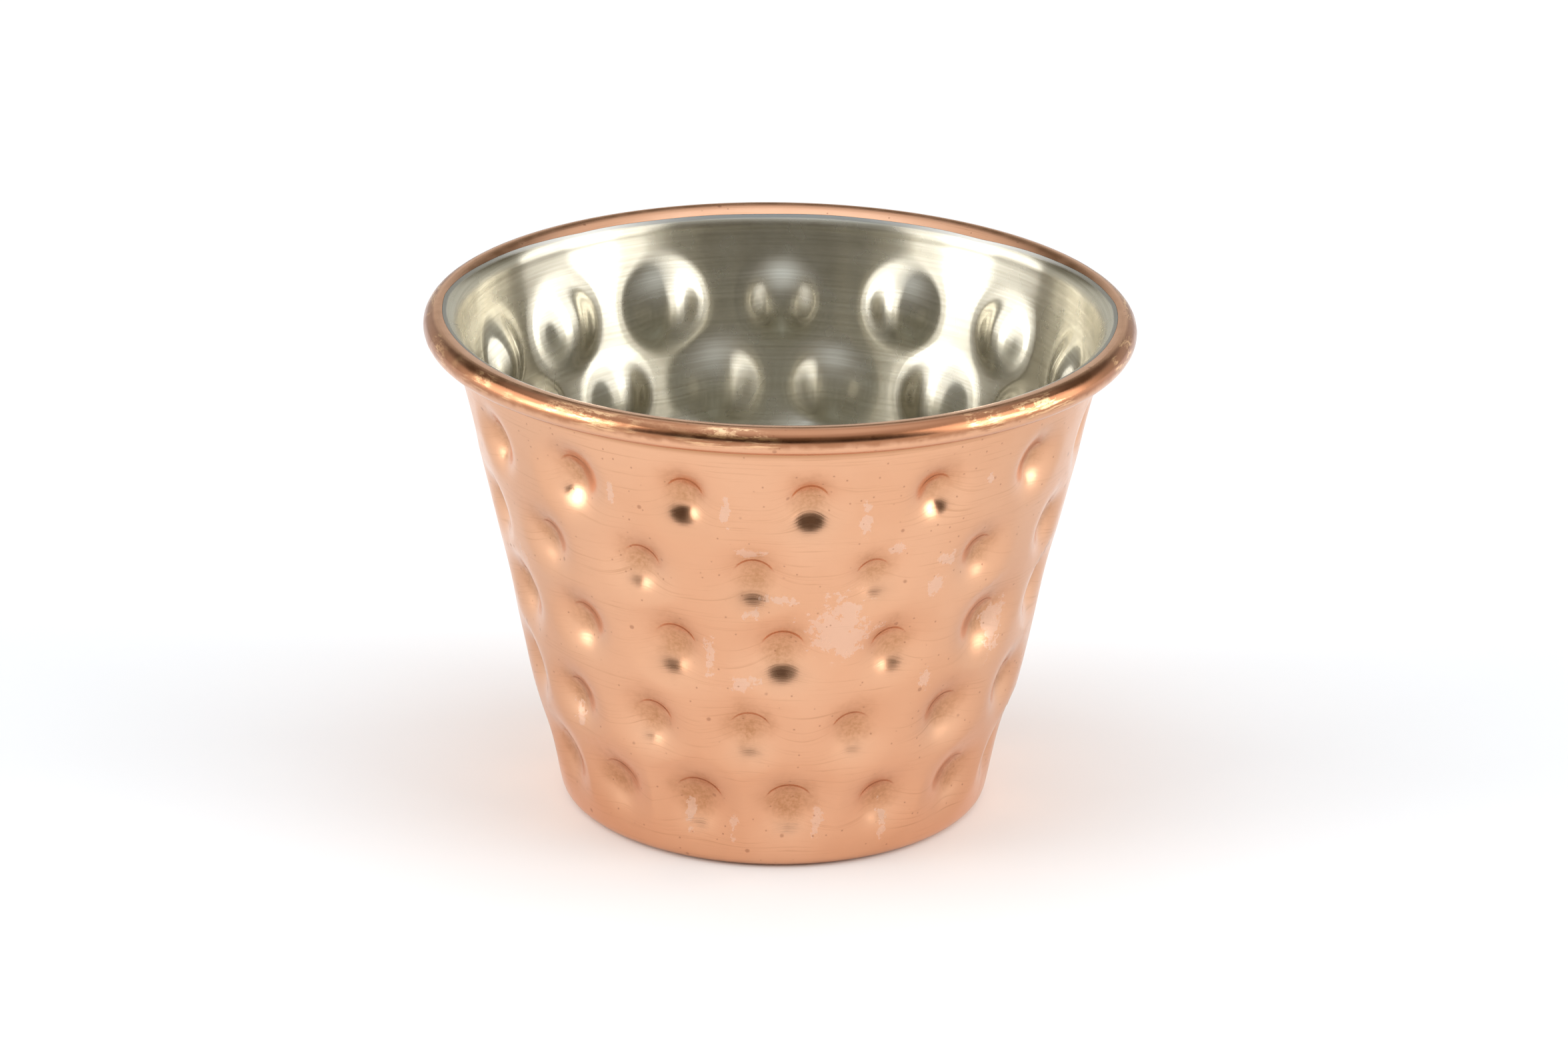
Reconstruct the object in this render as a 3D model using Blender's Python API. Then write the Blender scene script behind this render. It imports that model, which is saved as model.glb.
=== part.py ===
"""Hammered sauce cup: a drawn steel cup, copper plated on the outside.

Two closed bodies, both turned about +Z and dented by the same rows of punch marks:
steel_cup, the sheet with its floor, wall and open curl, and copper_plating, the skin over it.
The plating is drawn far thicker than a real one, so that it is a solid of its own.
The origin is the centre of the underside. Azimuth 0 faces -Y and grows towards +X.
"""
from math import atan, cos, degrees, hypot, radians, sin

import bmesh
import bpy
import numpy as np

# Lengths below are in millimetres. MM turns them into metres.
MM = 0.001

# Outside of the cup
HEIGHT = 44.8
RIM_RADIUS = 31.0
WALL_FOOT_RADIUS = 18.83
WALL_SLOPE = 0.2274
CORNER_RADIUS = 1.2
FULLNESS = 0.33
FULLNESS_HEIGHT = 12.5
FULLNESS_SPREAD = 5.5

# Layers, counted from the outside in
COPPER_THICKNESS = 0.2
LAYER_GAP = 0.3
STEEL_THICKNESS = 0.35
STEEL_DEPTH = COPPER_THICKNESS + LAYER_GAP
INSIDE_DEPTH = STEEL_DEPTH + STEEL_THICKNESS

# Rolled rim: a round bead outside, and a wider quarter ellipse on the inner lip
BEAD_RADIUS = 1.2
LIP_HEIGHT = 1.8

# Angles on the bead count from outwards (0) to the crest (90), those on the lip from the wall (0)
# to the crest (90). The plating starts in the crease under the bead and ends on the lip.
CREASE_ANGLE = -163
INNER_CREASE_ANGLE = -170
COPPER_EDGE_ANGLE = 65
STEEL_STEP_ANGLE = 56
CURL_END_ANGLE = -140
CURL_ROOT_ANGLE = 140
LIP_ROOT_ANGLE = 30

# Punch marks
ROW_HEIGHTS = (6.2, 13.9, 22.1, 29.3, 36.8)
ROW_TURNS = (6.8, -2.7, 4.4, -1.6, 8.9)
MARKS_PER_ROW = 15
MARK_RADIUS = 4.3
MARK_DEPTH = 1.0
MARK_POWER = 1.5
DRIFT = 3.2
DRIFT_START = 121

# Mesh: five columns to a mark, turned so that they run close to the marks' centres
COLUMNS = 5 * MARKS_PER_ROW
COLUMN_START = 0.2
STEPS_PER_ROW = 4
FOOT_HEIGHTS = (2.2, 4.2)
TOP_HEIGHTS = (39.1, 41.3)
CORNER_STEPS = 3
OUTER_BEAD_STEPS = 8
INNER_BEAD_STEPS = 7
CURL_STEPS = 6
LIP_EDGE_STEPS = 2
LIP_FACE_STEPS = 3
SHARP_ANGLE = 40

COPPER_COLOUR = (0.83, 0.45, 0.28)
COPPER_ROUGHNESS = 0.3
STEEL_COLOUR = (0.60, 0.59, 0.54)
STEEL_ROUGHNESS = 0.25

BEAD_CENTRE = (RIM_RADIUS - BEAD_RADIUS, HEIGHT - BEAD_RADIUS)
LIP_BASE = HEIGHT - LIP_HEIGHT


def clear_scene():
    for item in list(bpy.data.objects):
        bpy.data.objects.remove(item, do_unlink=True)


def metal(name, colour, roughness):
    """Return a metallic material of one colour."""
    material = bpy.data.materials.new(name)
    material.use_nodes = True
    shader = material.node_tree.nodes["Principled BSDF"]
    shader.inputs["Base Color"].default_value = (*colour, 1.0)
    shader.inputs["Metallic"].default_value = 1.0
    shader.inputs["Roughness"].default_value = roughness
    material.diffuse_color = (*colour, 1.0)
    return material


def wall_radius(height, depth=0.0):
    """Radius of the undented wall, at a depth below its outer surface."""
    swell = FULLNESS * np.exp(-((height - FULLNESS_HEIGHT) / FULLNESS_SPREAD) ** 2)
    return WALL_FOOT_RADIUS + WALL_SLOPE * height + swell - depth * hypot(1, WALL_SLOPE)


def drifted(turn):
    """Azimuth in degrees of an evenly indexed turn: the hammering wanders slowly round the cup."""
    return turn + DRIFT * sin(radians(turn - DRIFT_START))


def dent(azimuth, height):
    """How far the marks push the wall in at a place on it."""
    depth = 0.0
    for row_height, row_turn in zip(ROW_HEIGHTS, ROW_TURNS):
        if abs(height - row_height) >= MARK_RADIUS:
            continue
        for index in range(MARKS_PER_ROW):
            mark = drifted(row_turn + index * 360 / MARKS_PER_ROW)
            apart = (azimuth - mark + 180) % 360 - 180
            distance = hypot(radians(apart) * wall_radius(row_height), height - row_height)
            if distance < MARK_RADIUS:
                share = 1 - (distance / MARK_RADIUS) ** 2
                depth = max(depth, MARK_DEPTH * share ** MARK_POWER)
    return depth


def wall_heights():
    """Heights of the wall's rings: one on each row of marks, and even steps between them."""
    heights = list(FOOT_HEIGHTS)
    for low, high in zip(ROW_HEIGHTS, ROW_HEIGHTS[1:]):
        heights += list(np.linspace(low, high, STEPS_PER_ROW, endpoint=False))
    return heights + [ROW_HEIGHTS[-1], *TOP_HEIGHTS]


def arc(centre, radius, start, end, steps):
    """Points of a circular arc, in degrees from the outward direction towards +Z."""
    angles = np.radians(np.linspace(start, end, steps + 1))
    return [(centre[0] + radius * cos(a), centre[1] + radius * sin(a)) for a in angles]


def lip(depth, start, end, steps):
    """Points of the inner lip at a depth, in degrees from the wall (0) to the crest (90)."""
    width = BEAD_CENTRE[0] - wall_radius(LIP_BASE, INSIDE_DEPTH) - depth
    rise = LIP_HEIGHT - depth
    angles = np.radians(np.linspace(start, end, steps + 1))
    return [(BEAD_CENTRE[0] - width * cos(a), LIP_BASE + rise * sin(a)) for a in angles]


def side(depth):
    """Floor, corner and wall at a depth, from the axis up to below the bead."""
    centre = (wall_radius(CORNER_RADIUS, CORNER_RADIUS), CORNER_RADIUS)
    corner = arc(centre, CORNER_RADIUS - depth, -90, -degrees(atan(WALL_SLOPE)), CORNER_STEPS)
    wall = [(wall_radius(height, depth), height) for height in wall_heights()]
    return [(0.0, depth)] + corner + wall


def copper_outline():
    """Section of the plating: out along its outer face, round the bead, back along its inner face."""
    inner_bead = BEAD_RADIUS - COPPER_THICKNESS
    outside = side(0.0) + arc(BEAD_CENTRE, BEAD_RADIUS, CREASE_ANGLE, 90, OUTER_BEAD_STEPS)[:-1]
    outside += lip(0.0, 90, COPPER_EDGE_ANGLE, LIP_EDGE_STEPS)
    bead = lip(COPPER_THICKNESS, COPPER_EDGE_ANGLE, 90, LIP_EDGE_STEPS)[:-1]
    bead += arc(BEAD_CENTRE, inner_bead, 90, INNER_CREASE_ANGLE, INNER_BEAD_STEPS)
    top = bead[-1][1]
    bead.append((wall_radius(top, COPPER_THICKNESS), top))
    return outside + bead + side(COPPER_THICKNESS)[::-1]


def steel_outline():
    """Section of the steel: its outer face, the open curl, and its inner face."""
    curl_outer = BEAD_RADIUS - STEEL_DEPTH
    curl_inner = curl_outer - STEEL_THICKNESS
    outside = side(STEEL_DEPTH) + lip(STEEL_THICKNESS, 0, LIP_ROOT_ANGLE, LIP_EDGE_STEPS)
    curl = arc(BEAD_CENTRE, curl_inner, CURL_ROOT_ANGLE, CURL_END_ANGLE, CURL_STEPS)
    curl += arc(BEAD_CENTRE, curl_outer, CURL_END_ANGLE, 90, CURL_STEPS)[:-1]
    curl += lip(STEEL_DEPTH, 90, STEEL_STEP_ANGLE, LIP_EDGE_STEPS)
    inside = lip(0.0, STEEL_STEP_ANGLE, 0, LIP_FACE_STEPS) + side(INSIDE_DEPTH)[::-1]
    return outside + curl + inside


def turned(name, outline, material):
    """Turn a section about +Z into one closed body, and press the marks into it."""
    mesh = bmesh.new()
    azimuths = [drifted(COLUMN_START + index * 360 / COLUMNS) for index in range(COLUMNS)]
    rings = []
    for radius, height in outline:
        if radius == 0.0:
            rings.append([mesh.verts.new((0.0, 0.0, height * MM))])
            continue
        ring = []
        for azimuth in azimuths:
            reach = (radius - dent(azimuth, height)) * MM
            angle = radians(azimuth)
            ring.append(mesh.verts.new((reach * sin(angle), -reach * cos(angle), height * MM)))
        rings.append(ring)
    for low, high in zip(rings, rings[1:]):
        for index in range(COLUMNS):
            after = (index + 1) % COLUMNS
            corners = [low[index % len(low)], low[after % len(low)]]
            corners += [high[after % len(high)], high[index % len(high)]]
            mesh.faces.new(list(dict.fromkeys(corners)))
    bmesh.ops.triangulate(mesh, faces=mesh.faces[:])
    data = bpy.data.meshes.new(name)
    mesh.to_mesh(data)
    mesh.free()
    data.shade_smooth()
    data.set_sharp_from_angle(angle=radians(SHARP_ANGLE))
    data.materials.append(material)
    piece = bpy.data.objects.new(name, data)
    bpy.context.scene.collection.objects.link(piece)
    return piece


def main():
    clear_scene()
    turned("copper_plating", copper_outline(), metal("copper", COPPER_COLOUR, COPPER_ROUGHNESS))
    turned("steel_cup", steel_outline(), metal("steel", STEEL_COLOUR, STEEL_ROUGHNESS))


main()
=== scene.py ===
"""Looks of the hammered sauce cup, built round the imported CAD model.

copper_skin is the plated outside and steel_body the bare inside. Both are fine closed meshes turned
about +Z, with the same rows of punch marks as the CAD solids that they stand for.
Lengths are in millimetres until a mesh, lamp or camera is made. Azimuth 0 faces -Y and grows
towards +X.
"""
from math import cos, hypot, pi, radians, sin

import bpy
import numpy as np
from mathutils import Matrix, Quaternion, Vector

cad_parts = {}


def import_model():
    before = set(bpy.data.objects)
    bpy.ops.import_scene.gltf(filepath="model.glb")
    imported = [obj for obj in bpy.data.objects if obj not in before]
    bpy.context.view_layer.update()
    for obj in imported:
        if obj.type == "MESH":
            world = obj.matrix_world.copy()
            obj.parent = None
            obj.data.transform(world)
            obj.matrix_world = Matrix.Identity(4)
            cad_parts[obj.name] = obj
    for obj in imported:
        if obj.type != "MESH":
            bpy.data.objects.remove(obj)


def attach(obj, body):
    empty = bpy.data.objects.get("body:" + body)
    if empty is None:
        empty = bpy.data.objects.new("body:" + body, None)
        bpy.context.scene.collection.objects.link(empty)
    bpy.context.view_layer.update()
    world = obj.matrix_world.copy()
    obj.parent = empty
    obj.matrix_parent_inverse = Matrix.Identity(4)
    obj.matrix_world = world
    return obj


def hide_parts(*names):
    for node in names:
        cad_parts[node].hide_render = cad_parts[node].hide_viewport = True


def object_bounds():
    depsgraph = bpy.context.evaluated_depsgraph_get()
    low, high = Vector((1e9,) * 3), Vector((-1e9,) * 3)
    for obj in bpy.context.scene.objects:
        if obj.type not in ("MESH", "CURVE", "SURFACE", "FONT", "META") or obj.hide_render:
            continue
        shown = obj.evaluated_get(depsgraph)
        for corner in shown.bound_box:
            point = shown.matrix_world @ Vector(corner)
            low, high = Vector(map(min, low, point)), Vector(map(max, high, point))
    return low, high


MM = 0.001

# Profile of the wall, as in the CAD source
WALL_FOOT_RADIUS = 18.83
WALL_SLOPE = 0.2274
CORNER_RADIUS = 1.2
FULLNESS = 0.33
FULLNESS_HEIGHT = 12.5
FULLNESS_SPREAD = 5.5
INSIDE_DEPTH = 0.85
BEAD_RADIUS = 1.2
LIP_HEIGHT = 1.8

# Layers of the visible pieces
COPPER_THICKNESS = 0.12
STEEL_DEPTH = 0.25
SEAM_GAP = 0.02

# Rim angles in degrees: on the bead from outwards (0) to the crest (90), on the lip from the wall (0)
# to the crest (90)
CREST_ANGLE = 90.0
CREASE_ANGLE = -163.0
INNER_CREASE_ANGLE = -168.0
STEEL_BACK_ANGLE = 20.0

# The plating's edge on the lip: its angle by azimuth away from the front, and its ripples (size in
# degrees, waves round the rim, phase in degrees)
EDGE_AZIMUTHS = (0, 60, 95, 140, 180)
EDGE_ANGLES = (66, 68, 79, 44, 43)
EDGE_RIPPLES = ((0.8, 7, 0), (0.5, 17, 40))

# Punch marks, row by row
ROW_HEIGHTS = (6.2, 13.9, 22.1, 29.3, 36.8)
ROW_TURNS = (6.8, -2.7, 4.4, -1.6, 8.9)
ROW_CRATERS = (2.1, 1.9, 1.9, 1.75, 1.7)
ROW_STRENGTHS = (0.72, 0.75, 0.81, 0.75, 0.94)
MARKS_PER_ROW = 15
NOMINAL_CRATER = 1.9
DRIFT = 3.2
DRIFT_START = 121

# Chance in each mark: spread in degrees and millimetres, and ranges of the two factors
MARK_SEED = 7
TURN_SPREAD = 0.25
HEIGHT_SPREAD = 0.12
CRATER_CHANCE = (0.9, 1.1)
STRENGTH_CHANCE = (0.93, 1.05)

# Shape of a mark: crater radius, reach, steepest slope, fall-off of the shoulder, and rounding
OUTER_SHAPE = (1.9, 4.9, 0.70, 1.1, 0.26)
INNER_SHAPE = (2.9, 5.2, 0.66, 0.85, 0.35)
PROFILE_STEP = 0.02
PROFILE_MARGIN = 1
BLUR_SPREADS = 3

# Places where the plating's clear coat has flaked off: azimuth, height, half width, half height
FLAKES = (
    (-31, 36, 0.6, 1.6), (-9, 36, 0.8, 2.0), (16, 35.5, 0.7, 2.3), (41, 37, 0.8, 1.3),
    (-5, 32, 1.9, 0.9), (23, 32, 1.5, 0.8), (34, 30, 1.4, 1.1), (1, 27.5, 2.0, 0.8),
    (-5, 26, 1.3, 1.0), (13, 24.5, 4.4, 4.4), (32, 27.5, 1.4, 1.5), (-13.5, 21.5, 0.9, 2.4),
    (-7, 19, 2.6, 1.0), (34, 18, 1.0, 1.8), (-22, 4.5, 0.7, 2.6), (-10, 4, 0.6, 1.9),
    (11, 4.5, 0.7, 2.4), (29, 4, 0.7, 2.3), (-52, 12, 1.1, 2.0), (54, 21, 1.5, 3.6),
    (-62, 25, 1.2, 4.0), (-80, 33, 2.4, 1.6), (78, 14, 1.6, 3.0), (150, 22, 3.5, 3.0),
)
# Value of the flake field far from all of them
FLAKE_FLOOR = -9.0

# Mesh: points on a visible ring (a hidden one has half as many), and steps of each stretch
COLUMNS = 540
WALL_STEP = 0.36
HIDDEN_WALL_STEP = 0.9
CORNER_STEPS = 5
UNDERSIDE_STEPS = 4
INNER_FLOOR_STEPS = 12
HIDDEN_FLOOR_STEPS = 2
BEAD_STEPS = 18
HIDDEN_BEAD_STEPS = 10
COPPER_LIP_STEPS = 3
STEEL_LIP_STEPS = 9
HIDDEN_LIP_STEPS = 4
SHARP_ANGLE = 50

# Colours
COPPER_DEEP = (0.735, 0.39, 0.23)
COPPER_PALE = (0.765, 0.42, 0.255)
# Dark copper: real streaks along the brush lines, and painted shade in the crease and above the marks
COPPER_STAIN_AND_SHADE = (0.50, 0.245, 0.12)
COPPER_BARE = (0.80, 0.55, 0.43)
COPPER_SPECK = (0.32, 0.13, 0.07)
TARNISH_BROWN = (0.33, 0.125, 0.055)
TARNISH_GOLD = (0.90, 0.56, 0.30)
STEEL_DEEP = (0.54, 0.505, 0.415)
STEEL_PALE = (0.62, 0.59, 0.50)
STEEL_SEAM = (0.70, 0.69, 0.66)

# Noise in the finishes: scale per millimetre, detail, roughness
TONE_NOISE = (0.09, 3, 0.5)
GRAIN_NOISE = (2.4, 5, 0.7)
CLOUD_NOISE = (0.5, 4, 0.5)
RAGGED_NOISE = (0.8, 6, 0.7)
TARNISH_NOISE = (0.8, 5, 0.5)
WEAR_NOISE = (0.16, 2, 0.5)
COPPER_GLOSS_NOISE = (0.6, 4, 0.5)
STEEL_GLOSS_NOISE = (0.4, 3, 0.5)

# Brush lines: scale per millimetre along and across them, detail, roughness
COPPER_STREAKS = (0.10, 5.0, 4, 0.7)
COPPER_LINES = (0.08, 7.0, 4, 0.65)
BEAD_SCRATCHES = (0.35, 4.5, 5, 0.75)
STEEL_LINES = (0.05, 3.0, 3, 0.6)

# A span gives the values at which an effect is absent and at which it is full
TONE_SPAN = (0.35, 0.65)
STREAK_SPAN = (0.45, 0.28)
STREAK_STRENGTH = 0.45

# Darkening in the marks, by millimetres outside the crater, clouded, and heavier above the centre, where
# it is painted shade
PIT_CLOUD = 2.2
PIT_SHADE_RISE = -0.7
PIT_SPAN = (-0.3, -2.8)
GRAIN_SPAN = (0.35, 0.65)
GRAIN_RANGE = (0.45, 0.95)

FLAKE_RAGGEDNESS = 3.0
FLAKE_SPAN = (1.92, 1.96)
FLAKE_STRENGTH = 0.45
SPECKS = ((1.1, 0.12), (2.9, 0.26))
SPECK_STRENGTH = 0.5

# Tarnish on the bead, by height over the bead's centre and by angle on it, worn bright in places
TARNISH_LEVEL = (-1.25, -1.05)
TARNISH_WANDER = 40
TARNISH_LOWER = (-5, 25)
TARNISH_UPPER = (82, 66)
TARNISH_STRENGTH = 0.8
SCRATCH_SPAN = (0.48, 0.60)
WEAR_SPAN = (0.45, 0.58)

# Painted shade in the crease under the bead, by height over the rim's top and by angle on the bead
CREASE_SHADE_LEVEL = (-3.6, -3.0)
CREASE_SHADE_SPAN = (-35, -65)
CREASE_SHADE_STRENGTH = 0.9

# Gloss and relief: a bump is its depth in millimetres and its strength
GLOSS_SPAN = (0.3, 0.7)
COPPER_ROUGHNESS = (0.20, 0.27)
FLAKE_ROUGHNESS = 0.06
COPPER_LINE_BUMP = (0.02, 0.35)
BROW_RISE = (0.1, 0.7)
BROW_EDGE = (0.14, -0.14)
BROW_BUMP = (0.08, 0.6)
STEEL_LINE_SPAN = (0.3, 0.7)
STEEL_SEAM_SPAN = (0.45, 0.2)
STEEL_ROUGHNESS = (0.24, 0.28)
SEAM_ROUGHNESS = 0.4
STEEL_LINE_BUMP = (0.01, 0.15)
STEEL_ANISOTROPY = 1.0
STEEL_ANISOTROPY_TURN = 0.25

# Camera, in metres and degrees
CAMERA_PLACE = Vector((0.0, -0.4319, 0.19365))
CAMERA_AIM = Vector((0.0006, 0.0, 0.0248))
CAMERA_LENS = 120.6
CAMERA_ROLL = 0.88
CAMERA_CLIP = (0.01, 20)

# Lamps on each side: azimuth, elevation, and distance, width and height in metres, and radiance
LAMPS = {
    "softbox": (80, 23, 0.9, 1.0, 0.72, 2.5),
    "window": (75, 18, 0.8, 0.28, 0.24, 6.0),
}

# Brightness of the room, and where its parts meet: by the sine of elevation, and for the front by
# the cosine of the azimuth from the back
LOW_BACK = (0.70, 0.70, 0.65)
LOW_FRONT = (0.065, 0.048, 0.03)
MIDDLE_BACK = (0.12, 0.10, 0.065)
MIDDLE_FRONT = (0.24, 0.20, 0.14)
CEILING = (0.95, 0.97, 1.0)
ZENITH = (1.45, 1.65, 1.85)
FRONT_SPAN = (-0.45, -0.65)
MIDDLE_SPAN = (0.36, 0.46)
CEILING_SPAN = (0.6, 0.8)
ZENITH_SPAN = (0.85, 0.97)

# Floor, in metres
FLOOR_REACH = 4.0
FLOOR_LEVEL = -0.00005
FLOOR_COLOUR = (0.9, 0.9, 0.9, 1)
FLOOR_ROUGHNESS = 0.9

# Sockets of a Mix node that carry colours
MIX_FIRST = 6
MIX_SECOND = 7
MIX_RESULT = 2


def wall_radius(height, depth=0.0):
    """Radius of the undented wall, at a depth below its outer surface."""
    swell = FULLNESS * np.exp(-((height - FULLNESS_HEIGHT) / FULLNESS_SPREAD) ** 2)
    return WALL_FOOT_RADIUS + WALL_SLOPE * height + swell - depth * hypot(1, WALL_SLOPE)


FLOOR_EDGE = wall_radius(CORNER_RADIUS, CORNER_RADIUS)


class Cup:
    """Sizes read from the CAD model's box."""

    def __init__(self, low, high):
        self.height = high.z / MM
        rim_radius = (high.x - low.x) / 2 / MM
        self.bead = (rim_radius - BEAD_RADIUS, self.height - BEAD_RADIUS)
        self.lip_base = self.height - LIP_HEIGHT


# ---------------------------------------------------------------- punch marks

def marks():
    """Azimuth, height, crater radius and strength of every punch mark, with slight chance in each."""
    chance = np.random.default_rng(MARK_SEED)
    rows = []
    for height, first, crater, strength in zip(ROW_HEIGHTS, ROW_TURNS, ROW_CRATERS, ROW_STRENGTHS):
        for turn in first + azimuths(MARKS_PER_ROW):
            rows.append((
                turn + DRIFT * sin(radians(turn - DRIFT_START)) + chance.normal(0, TURN_SPREAD),
                height + chance.normal(0, HEIGHT_SPREAD),
                crater * chance.uniform(*CRATER_CHANCE),
                strength * chance.uniform(*STRENGTH_CHANCE),
            ))
    return rows


def azimuths(count):
    """Evenly spread turns in degrees."""
    return np.arange(count) * 360 / count


def turn_between(azimuth, start):
    """Degrees from one azimuth to another, from -180 to 180."""
    return (azimuth - start + 180) % 360 - 180


def nearest_mark(azimuth, height):
    """The nearest mark's distance, crater radius and strength, and how far above its centre this is."""
    best = np.full(azimuth.shape, np.inf)
    crater = np.zeros(azimuth.shape)
    strength = np.zeros(azimuth.shape)
    rise = np.zeros(azimuth.shape)
    for mark_azimuth, mark_height, mark_crater, mark_strength in MARKS:
        across = np.radians(turn_between(azimuth, mark_azimuth)) * wall_radius(mark_height)
        distance = np.hypot(across, height - mark_height)
        nearer = distance < best
        best = np.where(nearer, distance, best)
        crater = np.where(nearer, mark_crater, crater)
        strength = np.where(nearer, mark_strength, strength)
        rise = np.where(nearer, height - mark_height, rise)
    return best, crater, strength, rise


def dent_profile(crater, reach, steepest, power, blur):
    """Depth of a punch mark by distance from its centre: a round crater and a soft shoulder round it."""
    distance = np.arange(0, reach + PROFILE_MARGIN, PROFILE_STEP)
    shoulder = np.clip((reach - distance) / (reach - crater), 0, 1) ** power
    slope = steepest * np.minimum(distance / crater, shoulder)
    blur_reach = BLUR_SPREADS * blur
    offsets = np.arange(-blur_reach, blur_reach + PROFILE_STEP, PROFILE_STEP)
    weights = np.exp(-0.5 * (offsets / blur) ** 2)
    mirrored = np.concatenate((-slope[::-1], slope[1:]))
    slope = np.convolve(mirrored, weights / weights.sum(), mode="same")[len(slope) - 1:]
    depth = np.cumsum(slope[::-1])[::-1] * PROFILE_STEP
    return distance, depth - depth[-1]


MARKS = marks()
OUTER_DENT = dent_profile(*OUTER_SHAPE)
INNER_DENT = dent_profile(*INNER_SHAPE)


# ---------------------------------------------------------------- meshes

def ring(radius, height, turns, dent=None):
    """One ring of points: radius and height may be numbers, or one number for each azimuth."""
    radius = np.broadcast_to(np.asarray(radius, float), turns.shape)
    height = np.broadcast_to(np.asarray(height, float), turns.shape)
    if dent is not None:
        distance, crater, strength, _ = nearest_mark(turns, height)
        size = crater / NOMINAL_CRATER
        radius = radius - strength * size * np.interp(distance / size, *dent)
    angle = np.radians(turns)
    return np.stack((radius * np.sin(angle), -radius * np.cos(angle), height), axis=1)


class Section:
    """The rings of a closed body, from one point on the axis to another."""

    def __init__(self, cup):
        self.cup = cup
        self.rings = []

    def add(self, radius, height, count, dent=None):
        self.rings.append(ring(radius, height, azimuths(count), dent))

    def centre(self, height):
        """A point on the axis."""
        self.rings.append(np.array([[0.0, 0.0, height]]))

    def disc(self, height, steps, count):
        """Rings of a flat floor, without its centre and its edge."""
        for share in np.linspace(0, 1, steps + 1)[1:-1]:
            self.add(FLOOR_EDGE * share, height, count)

    def side(self, depth, count, step, dent, up):
        """Corner and wall at a depth, upwards or downwards."""
        slant = np.degrees(np.arctan(WALL_SLOPE))
        turn = CORNER_RADIUS - depth
        places = []
        for angle in np.radians(np.linspace(-90, -slant, CORNER_STEPS + 1)):
            places.append((FLOOR_EDGE + turn * cos(angle), CORNER_RADIUS + turn * sin(angle)))
        low, high = places[-1][1], self.cup.lip_base
        for height in np.linspace(low, high, int((high - low) / step) + 1)[1:-1]:
            places.append((wall_radius(height, depth), height))
        for radius, height in places if up else reversed(places):
            self.add(radius, height, count, dent)

    def arc(self, radius, start, end, steps, count):
        """Rings round the bead's centre, between two angles."""
        middle_radius, middle_height = self.cup.bead
        for angle in np.radians(np.linspace(start, end, steps + 1)):
            self.add(middle_radius + radius * cos(angle), middle_height + radius * sin(angle), count)

    def lip(self, depth, starts, ends, steps, count):
        """Rings on the inner lip, between two angles that may differ with azimuth."""
        cup = self.cup
        width = cup.bead[0] - wall_radius(cup.lip_base, INSIDE_DEPTH) - depth
        rise = LIP_HEIGHT - depth
        for share in np.linspace(0, 1, steps + 1):
            angle = np.radians(starts + (ends - starts) * share)
            self.add(cup.bead[0] - width * np.cos(angle), cup.lip_base + rise * np.sin(angle), count)

    def body(self, name):
        """Join the rings into one closed mesh."""
        faces = []
        start = 0
        for low, high in zip(self.rings, self.rings[1:]):
            faces += strip(start, len(low), start + len(low), len(high))
            start += len(low)
        mesh = bpy.data.meshes.new(name)
        mesh.from_pydata((np.concatenate(self.rings) * MM).tolist(), [], faces)
        mesh.shade_smooth()
        mesh.set_sharp_from_angle(angle=radians(SHARP_ANGLE))
        piece = bpy.data.objects.new(name, mesh)
        bpy.context.scene.collection.objects.link(piece)
        return piece


def strip(low, low_count, high, high_count):
    """Faces between two rings: equal in number, halved in the next, or one point in either."""
    faces = []
    if low_count == high_count:
        index = np.arange(low_count)
        after = (index + 1) % low_count
        faces = np.stack((low + index, low + after, high + after, high + index), axis=1).tolist()
    elif high_count == 1:
        for index in range(low_count):
            faces.append((low + index, low + (index + 1) % low_count, high))
    elif low_count == 1:
        for index in range(high_count):
            faces.append((low, high + (index + 1) % high_count, high + index))
    elif low_count == 2 * high_count:
        for index in range(high_count):
            first, middle, last = 2 * index, 2 * index + 1, (2 * index + 2) % low_count
            here, after = high + index, high + (index + 1) % high_count
            faces.append((low + first, low + middle, here))
            faces.append((low + middle, after, here))
            faces.append((low + middle, low + last, after))
    return faces


def copper_edge(turns):
    """Lip angle of the plating's edge at each azimuth."""
    away = np.abs(turn_between(turns, 0))
    ripple = sum(size * np.sin(np.radians(turns * waves + phase)) for size, waves, phase in EDGE_RIPPLES)
    return np.interp(away, EDGE_AZIMUTHS, EDGE_ANGLES) + ripple


def azimuth_and_height(piece):
    """Azimuth and height of every vertex."""
    points = np.empty(len(piece.data.vertices) * 3)
    piece.data.vertices.foreach_get("co", points)
    x, y, z = points.reshape(-1, 3).T / MM
    return np.degrees(np.arctan2(x, -y)), z


def paint(piece, name, values):
    """Store a number at every vertex, for the material to read."""
    attribute = piece.data.attributes.new(name, "FLOAT", "POINT")
    attribute.data.foreach_set("value", values.astype(np.float32))


def flake_field(azimuth, height):
    """1 in the middle of a flaked place, 0 at its border, and less beyond."""
    field = np.full(azimuth.shape, FLAKE_FLOOR)
    for turn, level, half_width, half_height in FLAKES:
        across = np.radians(turn_between(azimuth, turn)) * wall_radius(level) / half_width
        field = np.maximum(field, 1 - np.hypot(across, (height - level) / half_height))
    return field


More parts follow.
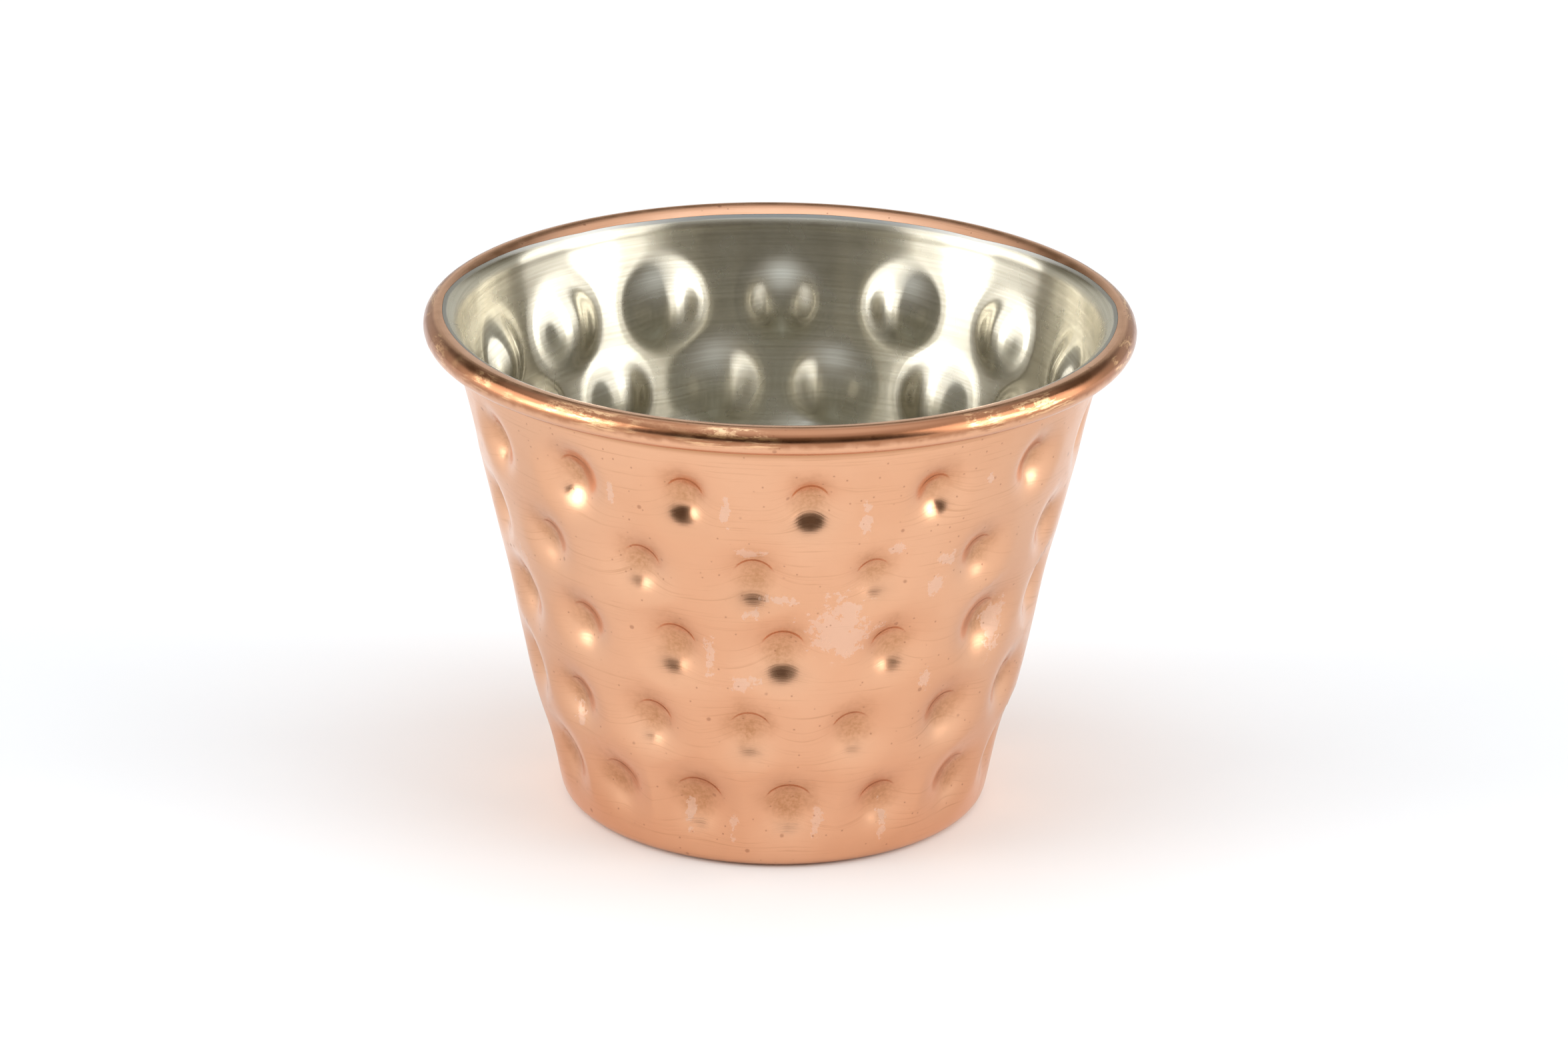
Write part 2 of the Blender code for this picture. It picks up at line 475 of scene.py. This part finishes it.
def copper_skin(cup):
    """The plating: up its outer face, over the bead onto the lip, and back down its inner face."""
    section = Section(cup)
    half = COLUMNS // 2
    section.centre(0.0)
    section.disc(0.0, UNDERSIDE_STEPS, COLUMNS)
    section.side(0.0, COLUMNS, WALL_STEP, OUTER_DENT, up=True)
    section.arc(BEAD_RADIUS, CREASE_ANGLE, CREST_ANGLE, BEAD_STEPS, COLUMNS)
    section.lip(0.0, CREST_ANGLE, copper_edge(azimuths(COLUMNS)), COPPER_LIP_STEPS, COLUMNS)
    section.lip(COPPER_THICKNESS, copper_edge(azimuths(half)), CREST_ANGLE, COPPER_LIP_STEPS, half)
    inner_radius = BEAD_RADIUS - COPPER_THICKNESS
    section.arc(inner_radius, CREST_ANGLE, INNER_CREASE_ANGLE, HIDDEN_BEAD_STEPS, half)
    section.side(COPPER_THICKNESS, half, HIDDEN_WALL_STEP, OUTER_DENT, up=False)
    section.disc(COPPER_THICKNESS, HIDDEN_FLOOR_STEPS, half)
    section.centre(COPPER_THICKNESS)
    piece = section.body("copper_skin")
    azimuth, height = azimuth_and_height(piece)
    distance, crater, _, rise = nearest_mark(azimuth, height)
    paint(piece, "mark_edge", distance - crater)
    paint(piece, "mark_rise", rise / crater)
    paint(piece, "flake", flake_field(azimuth, height))
    return piece


def steel_body(cup):
    """The steel: up its inner face onto the lip, and back down its outer face."""
    section = Section(cup)
    half = COLUMNS // 2
    seam = np.degrees(SEAM_GAP / LIP_HEIGHT)
    section.centre(INSIDE_DEPTH)
    section.disc(INSIDE_DEPTH, INNER_FLOOR_STEPS, COLUMNS)
    section.side(INSIDE_DEPTH, COLUMNS, WALL_STEP, INNER_DENT, up=True)
    section.lip(0.0, 0.0, copper_edge(azimuths(COLUMNS)) - seam, STEEL_LIP_STEPS, COLUMNS)
    back_edge = copper_edge(azimuths(half)) - seam
    section.lip(STEEL_DEPTH, back_edge, STEEL_BACK_ANGLE, HIDDEN_LIP_STEPS, half)
    section.side(STEEL_DEPTH, half, HIDDEN_WALL_STEP, OUTER_DENT, up=False)
    section.disc(STEEL_DEPTH, HIDDEN_FLOOR_STEPS, half)
    section.centre(STEEL_DEPTH)
    section.rings.reverse()
    piece = section.body("steel_body")
    azimuth, height = azimuth_and_height(piece)
    lip_angle = np.degrees(np.arcsin(np.clip((height - cup.lip_base) / LIP_HEIGHT, 0, 1)))
    paint(piece, "seam", np.radians(copper_edge(azimuth) - lip_angle) * LIP_HEIGHT)
    return piece


# ---------------------------------------------------------------- materials

class Graph:
    """The node tree of a material or world, with one short call for each kind of node."""

    def __init__(self, owner):
        owner.use_nodes = True
        self.tree = owner.node_tree

    def feed(self, socket, value):
        """Link a socket to another, or set its value."""
        if isinstance(value, bpy.types.NodeSocket):
            self.tree.links.new(value, socket)
        else:
            socket.default_value = value

    def math(self, operation, *values):
        node = self.tree.nodes.new("ShaderNodeMath")
        node.operation = operation
        for socket, value in zip(node.inputs, values):
            self.feed(socket, value)
        return node.outputs[0]

    def span(self, value, span, result=(0.0, 1.0)):
        """Map a value's span smoothly onto a result, and hold the result beyond it."""
        node = self.tree.nodes.new("ShaderNodeMapRange")
        node.interpolation_type = "SMOOTHSTEP"
        for name, number in zip(("From Min", "From Max", "To Min", "To Max"), (*span, *result)):
            node.inputs[name].default_value = number
        self.feed(node.inputs["Value"], value)
        return node.outputs["Result"]

    def mix(self, factor, first, second):
        """Blend from the first colour to the second."""
        node = self.tree.nodes.new("ShaderNodeMix")
        node.data_type = "RGBA"
        self.feed(node.inputs["Factor"], factor)
        for socket, colour in ((MIX_FIRST, first), (MIX_SECOND, second)):
            self.feed(node.inputs[socket], (*colour, 1.0) if isinstance(colour, tuple) else colour)
        return node.outputs[MIX_RESULT]

    def parts(self, vector):
        """The X, Y and Z of a vector."""
        node = self.tree.nodes.new("ShaderNodeSeparateXYZ")
        self.feed(node.inputs[0], vector)
        return node.outputs

    def coordinate(self, name):
        return self.tree.nodes.new("ShaderNodeTexCoord").outputs[name]


class Metal(Graph):
    """A metallic material, with the place on the piece in millimetres."""

    def __init__(self, material):
        super().__init__(material)
        self.shader = self.tree.nodes["Principled BSDF"]
        self.shader.inputs["Metallic"].default_value = 1.0
        scale = self.tree.nodes.new("ShaderNodeVectorMath")
        scale.operation = "SCALE"
        self.feed(scale.inputs[0], self.coordinate("Object"))
        scale.inputs["Scale"].default_value = 1 / MM
        self.point = scale.outputs[0]
        self.x, self.y, self.z = self.parts(self.point)
        x_square = self.math("MULTIPLY", self.x, self.x)
        y_square = self.math("MULTIPLY", self.y, self.y)
        self.radius = self.math("SQRT", self.math("ADD", x_square, y_square))

    def noise(self, scale, detail, roughness, vector=None):
        node = self.tree.nodes.new("ShaderNodeTexNoise")
        self.feed(node.inputs["Vector"], vector or self.point)
        for name, value in (("Scale", scale), ("Detail", detail), ("Roughness", roughness)):
            node.inputs[name].default_value = value
        return node.outputs["Fac"]

    def brushed(self, along, across, detail, roughness):
        """Noise drawn out into fine lines round the axis, on walls and on flat discs alike."""
        node = self.tree.nodes.new("ShaderNodeCombineXYZ")
        path = self.math("ADD", self.z, self.radius)
        scaled = ((self.x, along), (self.y, along), (path, across))
        for socket, (value, scale) in zip(node.inputs, scaled):
            self.feed(socket, self.math("MULTIPLY", value, scale))
        return self.noise(1.0, detail, roughness, node.outputs[0])

    def specks(self, spacing, size):
        """Small round spots: 1 in a spot, 0 outside it."""
        node = self.tree.nodes.new("ShaderNodeTexVoronoi")
        self.feed(node.inputs["Vector"], self.point)
        node.inputs["Scale"].default_value = 1 / spacing
        return self.span(node.outputs["Distance"], (size / spacing, 0.5 * size / spacing))

    def attribute(self, name):
        """A number painted on the piece."""
        node = self.tree.nodes.new("ShaderNodeAttribute")
        node.attribute_name = name
        return node.outputs["Fac"]

    def bump(self, height, depth, strength, normal=None):
        node = self.tree.nodes.new("ShaderNodeBump")
        self.feed(node.inputs["Height"], height)
        node.inputs["Distance"].default_value = depth * MM
        node.inputs["Strength"].default_value = strength
        if normal is not None:
            self.feed(node.inputs["Normal"], normal)
        return node.outputs["Normal"]

    def finish(self, colour, roughness, normal):
        """Link the shader's colour, roughness and normal."""
        for name, value in (("Base Color", colour), ("Roughness", roughness), ("Normal", normal)):
            self.feed(self.shader.inputs[name], value)


def wall_colour(metal, flake):
    """Plated copper: brush lines, darkened pits with painted shade above their centres, flaked coat and
    dark specks.
    """
    tone = metal.span(metal.noise(*TONE_NOISE), TONE_SPAN)
    colour = metal.mix(tone, COPPER_DEEP, COPPER_PALE)
    streaks = metal.span(metal.brushed(*COPPER_STREAKS), STREAK_SPAN, (0.0, STREAK_STRENGTH))
    colour = metal.mix(streaks, colour, COPPER_STAIN_AND_SHADE)

    # The marks darken in and round their craters; the extra darkening above each centre is painted shade
    cloud = metal.math("MULTIPLY", metal.noise(*CLOUD_NOISE), PIT_CLOUD)
    edge = metal.math("SUBTRACT", metal.attribute("mark_edge"), cloud)
    rise = metal.math("MULTIPLY", metal.attribute("mark_rise"), PIT_SHADE_RISE)
    pit = metal.span(metal.math("ADD", edge, rise), PIT_SPAN)
    grain = metal.span(metal.noise(*GRAIN_NOISE), GRAIN_SPAN, GRAIN_RANGE)
    colour = metal.mix(metal.math("MULTIPLY", pit, grain), colour, COPPER_STAIN_AND_SHADE)

    colour = metal.mix(metal.math("MULTIPLY", flake, FLAKE_STRENGTH), colour, COPPER_BARE)
    for spacing, size in SPECKS:
        spot = metal.specks(spacing, size)
        colour = metal.mix(metal.math("MULTIPLY", spot, SPECK_STRENGTH), colour, COPPER_SPECK)
    return colour


def flaked(metal):
    """1 where the clear coat has flaked off, with a ragged border, and 0 elsewhere."""
    ragged = metal.math("MULTIPLY", metal.noise(*RAGGED_NOISE), FLAKE_RAGGEDNESS)
    return metal.span(metal.math("ADD", metal.attribute("flake"), ragged), FLAKE_SPAN)


def bead_tarnish_and_crease_shade(metal, cup, colour):
    """Brown tarnish on the outer half of the bead, scratched bright in places, and painted shade in the
    crease under it.
    """
    out = metal.math("SUBTRACT", metal.radius, cup.bead[0])
    up = metal.math("SUBTRACT", metal.z, cup.bead[1])
    angle = metal.math("DEGREES", metal.math("ARCTAN2", up, out))

    level = [cup.bead[1] + offset for offset in TARNISH_LEVEL]
    wander = metal.math("MULTIPLY", metal.noise(*TARNISH_NOISE), TARNISH_WANDER)
    lower = metal.span(metal.math("ADD", angle, wander), TARNISH_LOWER)
    band = metal.math("MULTIPLY", lower, metal.span(angle, TARNISH_UPPER))
    band = metal.math("MULTIPLY", band, metal.span(metal.z, level))
    scratch = metal.span(metal.brushed(*BEAD_SCRATCHES), SCRATCH_SPAN)
    worn = metal.math("MULTIPLY", scratch, metal.span(metal.noise(*WEAR_NOISE), WEAR_SPAN))
    tarnish = metal.mix(worn, TARNISH_BROWN, TARNISH_GOLD)
    colour = metal.mix(metal.math("MULTIPLY", band, TARNISH_STRENGTH), colour, tarnish)

    # Painted shade: the wall darkens in the crease just under the bead
    level = [cup.height + offset for offset in CREASE_SHADE_LEVEL]
    under = metal.math("MULTIPLY", metal.span(metal.z, level), metal.span(angle, CREASE_SHADE_SPAN))
    return metal.mix(metal.math("MULTIPLY", under, CREASE_SHADE_STRENGTH), colour, COPPER_STAIN_AND_SHADE)


def copper_material(cup):
    material = bpy.data.materials.new("copper")
    metal = Metal(material)
    flake = flaked(metal)
    colour = bead_tarnish_and_crease_shade(metal, cup, wall_colour(metal, flake))
    gloss = metal.span(metal.noise(*COPPER_GLOSS_NOISE), GLOSS_SPAN, COPPER_ROUGHNESS)
    rough = metal.math("ADD", gloss, metal.math("MULTIPLY", flake, FLAKE_ROUGHNESS))
    lines = metal.bump(metal.brushed(*COPPER_LINES), *COPPER_LINE_BUMP)
    brow = metal.span(metal.attribute("mark_rise"), BROW_RISE)
    sunk = metal.math("MULTIPLY", metal.span(metal.attribute("mark_edge"), BROW_EDGE), brow)
    normal = metal.bump(metal.math("MULTIPLY", sunk, -1.0), *BROW_BUMP, lines)
    metal.finish(colour, rough, normal)
    return material


def steel_material():
    material = bpy.data.materials.new("steel")
    metal = Metal(material)
    metal.shader.inputs["Anisotropic"].default_value = STEEL_ANISOTROPY
    metal.shader.inputs["Anisotropic Rotation"].default_value = STEEL_ANISOTROPY_TURN
    fine = metal.brushed(*STEEL_LINES)
    seam = metal.span(metal.attribute("seam"), STEEL_SEAM_SPAN)
    colour = metal.mix(metal.span(fine, STEEL_LINE_SPAN), STEEL_DEEP, STEEL_PALE)
    gloss = metal.span(metal.noise(*STEEL_GLOSS_NOISE), GLOSS_SPAN, STEEL_ROUGHNESS)
    rough = metal.math("ADD", gloss, metal.math("MULTIPLY", seam, SEAM_ROUGHNESS))
    metal.finish(metal.mix(seam, colour, STEEL_SEAM), rough, metal.bump(fine, *STEEL_LINE_BUMP))
    return material


# ---------------------------------------------------------------- studio

def stage():
    """A plain pale floor, just under the cup."""
    corners = [(-1, -1), (1, -1), (1, 1), (-1, 1)]
    points = [(x * FLOOR_REACH, y * FLOOR_REACH, FLOOR_LEVEL) for x, y in corners]
    mesh = bpy.data.meshes.new("floor")
    mesh.from_pydata(points, [], [(0, 1, 2, 3)])
    floor = bpy.data.objects.new("floor", mesh)
    bpy.context.scene.collection.objects.link(floor)
    material = bpy.data.materials.new("pale_floor")
    material.use_nodes = True
    shader = material.node_tree.nodes["Principled BSDF"]
    shader.inputs["Base Color"].default_value = FLOOR_COLOUR
    shader.inputs["Roughness"].default_value = FLOOR_ROUGHNESS
    shader.inputs["Specular IOR Level"].default_value = 0.0
    mesh.materials.append(material)


def lamp(name, azimuth, elevation, distance, width, height, radiance):
    """A softbox that faces the cup, with the brightness that its face shows."""
    data = bpy.data.lights.new(name, "AREA")
    data.shape = "RECTANGLE"
    data.size = width
    data.size_y = height
    data.energy = radiance * pi * width * height
    item = bpy.data.objects.new(name, data)
    turn, rise = radians(azimuth), radians(elevation)
    item.location = distance * Vector((sin(turn) * cos(rise), -cos(turn) * cos(rise), sin(rise)))
    item.rotation_mode = "QUATERNION"
    item.rotation_quaternion = (-item.location).to_track_quat("-Z", "Y")
    bpy.context.scene.collection.objects.link(item)


def room():
    """World: dark in front below the ceiling, a pale strip low behind the cup, and a bright ceiling."""
    world = bpy.data.worlds.new("room")
    graph = Graph(world)
    _, y, z = graph.parts(graph.coordinate("Generated"))
    across = graph.math("SQRT", graph.math("SUBTRACT", 1.0, graph.math("MULTIPLY", z, z)))
    front = graph.span(graph.math("DIVIDE", y, across), FRONT_SPAN)
    low = graph.mix(front, LOW_BACK, LOW_FRONT)
    middle = graph.mix(front, MIDDLE_BACK, MIDDLE_FRONT)
    sky = graph.mix(graph.span(z, MIDDLE_SPAN), low, middle)
    sky = graph.mix(graph.span(z, CEILING_SPAN), sky, CEILING)
    sky = graph.mix(graph.span(z, ZENITH_SPAN), sky, ZENITH)
    graph.feed(graph.tree.nodes["Background"].inputs["Color"], sky)
    return world


def studio():
    scene = bpy.context.scene
    scene.view_settings.view_transform = "Standard"
    scene.world = room()
    stage()
    for side, sign in (("left", -1), ("right", 1)):
        for kind, (azimuth, *rest) in LAMPS.items():
            lamp(f"{side}_{kind}", sign * azimuth, *rest)


def camera():
    data = bpy.data.cameras.new("camera")
    data.lens = CAMERA_LENS
    data.clip_start, data.clip_end = CAMERA_CLIP
    item = bpy.data.objects.new("camera", data)
    item.location = CAMERA_PLACE
    item.rotation_mode = "QUATERNION"
    look = (CAMERA_AIM - CAMERA_PLACE).to_track_quat("-Z", "Y")
    item.rotation_quaternion = look @ Quaternion((0, 0, 1), radians(CAMERA_ROLL))
    bpy.context.scene.collection.objects.link(item)
    bpy.context.scene.camera = item


def main():
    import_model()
    low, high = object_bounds()
    cup = Cup(low, high)
    camera()
    studio()
    for make, node, slot, material in (
        (copper_skin, "copper_plating", "copper", copper_material(cup)),
        (steel_body, "steel_cup", "steel", steel_material()),
    ):
        piece = make(cup)
        piece.data.materials.append(material)
        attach(piece, "root")
        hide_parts(node)


main()
